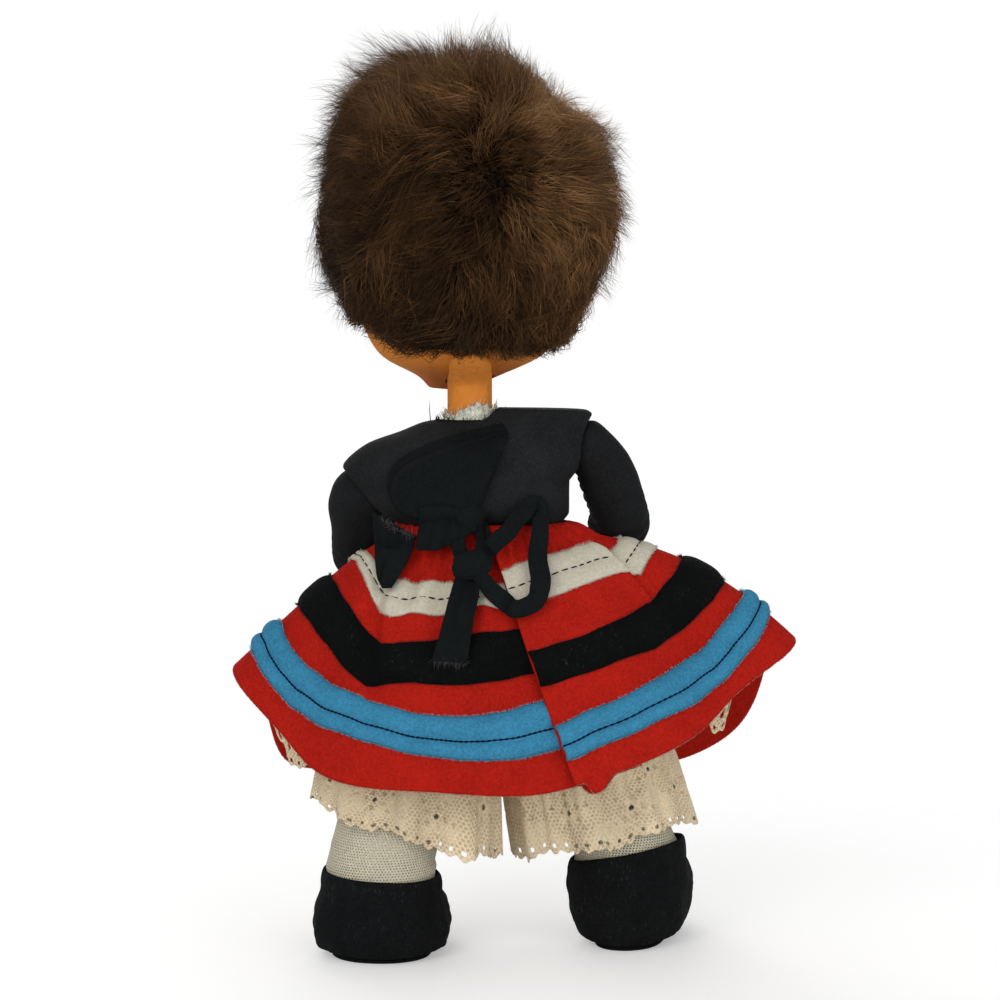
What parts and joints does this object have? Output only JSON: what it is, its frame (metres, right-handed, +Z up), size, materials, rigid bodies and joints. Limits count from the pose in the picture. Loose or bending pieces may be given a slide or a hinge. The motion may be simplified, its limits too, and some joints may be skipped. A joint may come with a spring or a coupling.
{
  "type": "felt doll",
  "caption": "Standing stuffed felt doll with a round fur wig, black bodice, gathered banded skirt, lace drawers, net stockings and felt shoes; head, arms and legs turn on wires.",
  "frame": {"origin": "middle of the bounding box at floor level, between the shoes", "axes": "+Z up through the head; -Y is the way the doll faces and +Y its back with the bow; +X is the doll's own left"},
  "size_m": [0.1512, 0.0994, 0.241],
  "materials": {
    "red_felt": "brushed wool felt, fuzzy and matt",
    "blue_felt": "brushed wool felt, fuzzy and matt",
    "white_felt": "brushed wool felt, puckered by its stitching",
    "black_felt": "brushed wool felt with pale lint",
    "black_cotton": "plain woven cotton, soft matt, creased",
    "tan_felt": "smooth pressed felt",
    "white_cotton": "plain woven cotton, soft matt",
    "white_net": "fine knitted net over white cotton",
    "lace": "cotton lace with a net ground and eyelets",
    "fur": "short dense animal fur with dark guard hairs",
    "card": "grey card",
    "steel": "plain drawn wire"
  },
  "bodies": {
    "torso": {"torso": "white_cotton", "spine_wire": "steel", "bodice_front": "black_cotton", "bodice_back": "black_cotton", "collar": "white_cotton", "skirt": "red_felt", "skirt_white_band": "white_felt", "skirt_black_band": "black_felt", "skirt_blue_band": "blue_felt", "petticoat": "white_cotton", "petticoat_lace": "lace", "drawers_seat": "white_cotton", "bow_knot": "black_cotton", "bow_lower_knot": "black_cotton", "bow_upper_loop": "black_cotton", "bow_left_tail": "black_cotton", "bow_centre_tail": "black_cotton", "bow_right_loop": "black_cotton"},
    "neck": {"neck": "tan_felt"},
    "head": {"head_stuffing": "white_cotton", "face": "tan_felt", "head_back": "tan_felt", "wig": "fur"},
    "left_upper_arm": {"left_upper_sleeve": "black_cotton", "left_arm_wire": "steel"},
    "left_forearm": {"left_lower_sleeve": "black_cotton", "left_forearm_wire": "steel", "left_hand": "tan_felt"},
    "left_leg": {"left_leg": "white_cotton", "left_leg_wire": "steel", "left_stocking": "white_net", "left_drawers_leg": "white_cotton", "left_lace_cuff": "lace", "left_shoe": "black_felt", "left_insole": "card", "left_sole": "black_felt"},
    "right_upper_arm": {"right_upper_sleeve": "black_cotton", "right_arm_wire": "steel"},
    "right_forearm": {"right_lower_sleeve": "black_cotton", "right_forearm_wire": "steel", "right_hand": "tan_felt"},
    "right_leg": {"right_leg": "white_cotton", "right_leg_wire": "steel", "right_stocking": "white_net", "right_drawers_leg": "white_cotton", "right_lace_cuff": "lace", "right_shoe": "black_felt", "right_insole": "card", "right_sole": "black_felt"}
  },
  "joints": [
    {"name": "neck_turn", "type": "hinge", "parent": "torso", "child": "neck", "pos_m": [0.01198, 0.00588, 0.1448], "axis": [0, 0, 1], "range_deg": [-70, 30]},
    {"name": "head_nod", "type": "hinge", "parent": "neck", "child": "head", "pos_m": [0.01198, 0.00588, 0.159], "axis": [0.9272, 0.3746, 0], "range_deg": [-12, 12]},
    {"name": "left_shoulder", "type": "hinge", "parent": "torso", "child": "left_upper_arm", "pos_m": [0.04098, 0.00438, 0.1245], "axis": [-1, 0, 0], "range_deg": [0, 40]},
    {"name": "left_elbow", "type": "hinge", "parent": "left_upper_arm", "child": "left_forearm", "pos_m": [0.04298, -0.01162, 0.106], "axis": [-1, 0, 0], "range_deg": [0, 45]},
    {"name": "right_shoulder", "type": "hinge", "parent": "torso", "child": "right_upper_arm", "pos_m": [-0.02302, 0.00588, 0.1376], "axis": [-1, 0, 0], "range_deg": [0, 60]},
    {"name": "right_elbow", "type": "hinge", "parent": "right_upper_arm", "child": "right_forearm", "pos_m": [-0.02942, -0.00562, 0.1166], "axis": [-1, 0, 0], "range_deg": [0, 45]},
    {"name": "left_hip", "type": "hinge", "parent": "torso", "child": "left_leg", "pos_m": [0.02178, 0.00588, 0.082], "axis": [-1, 0, 0], "range_deg": [-12, 18]},
    {"name": "right_hip", "type": "hinge", "parent": "torso", "child": "right_leg", "pos_m": [-0.00922, 0.00588, 0.082], "axis": [-1, 0, 0], "range_deg": [-22, 8]}
  ]
}
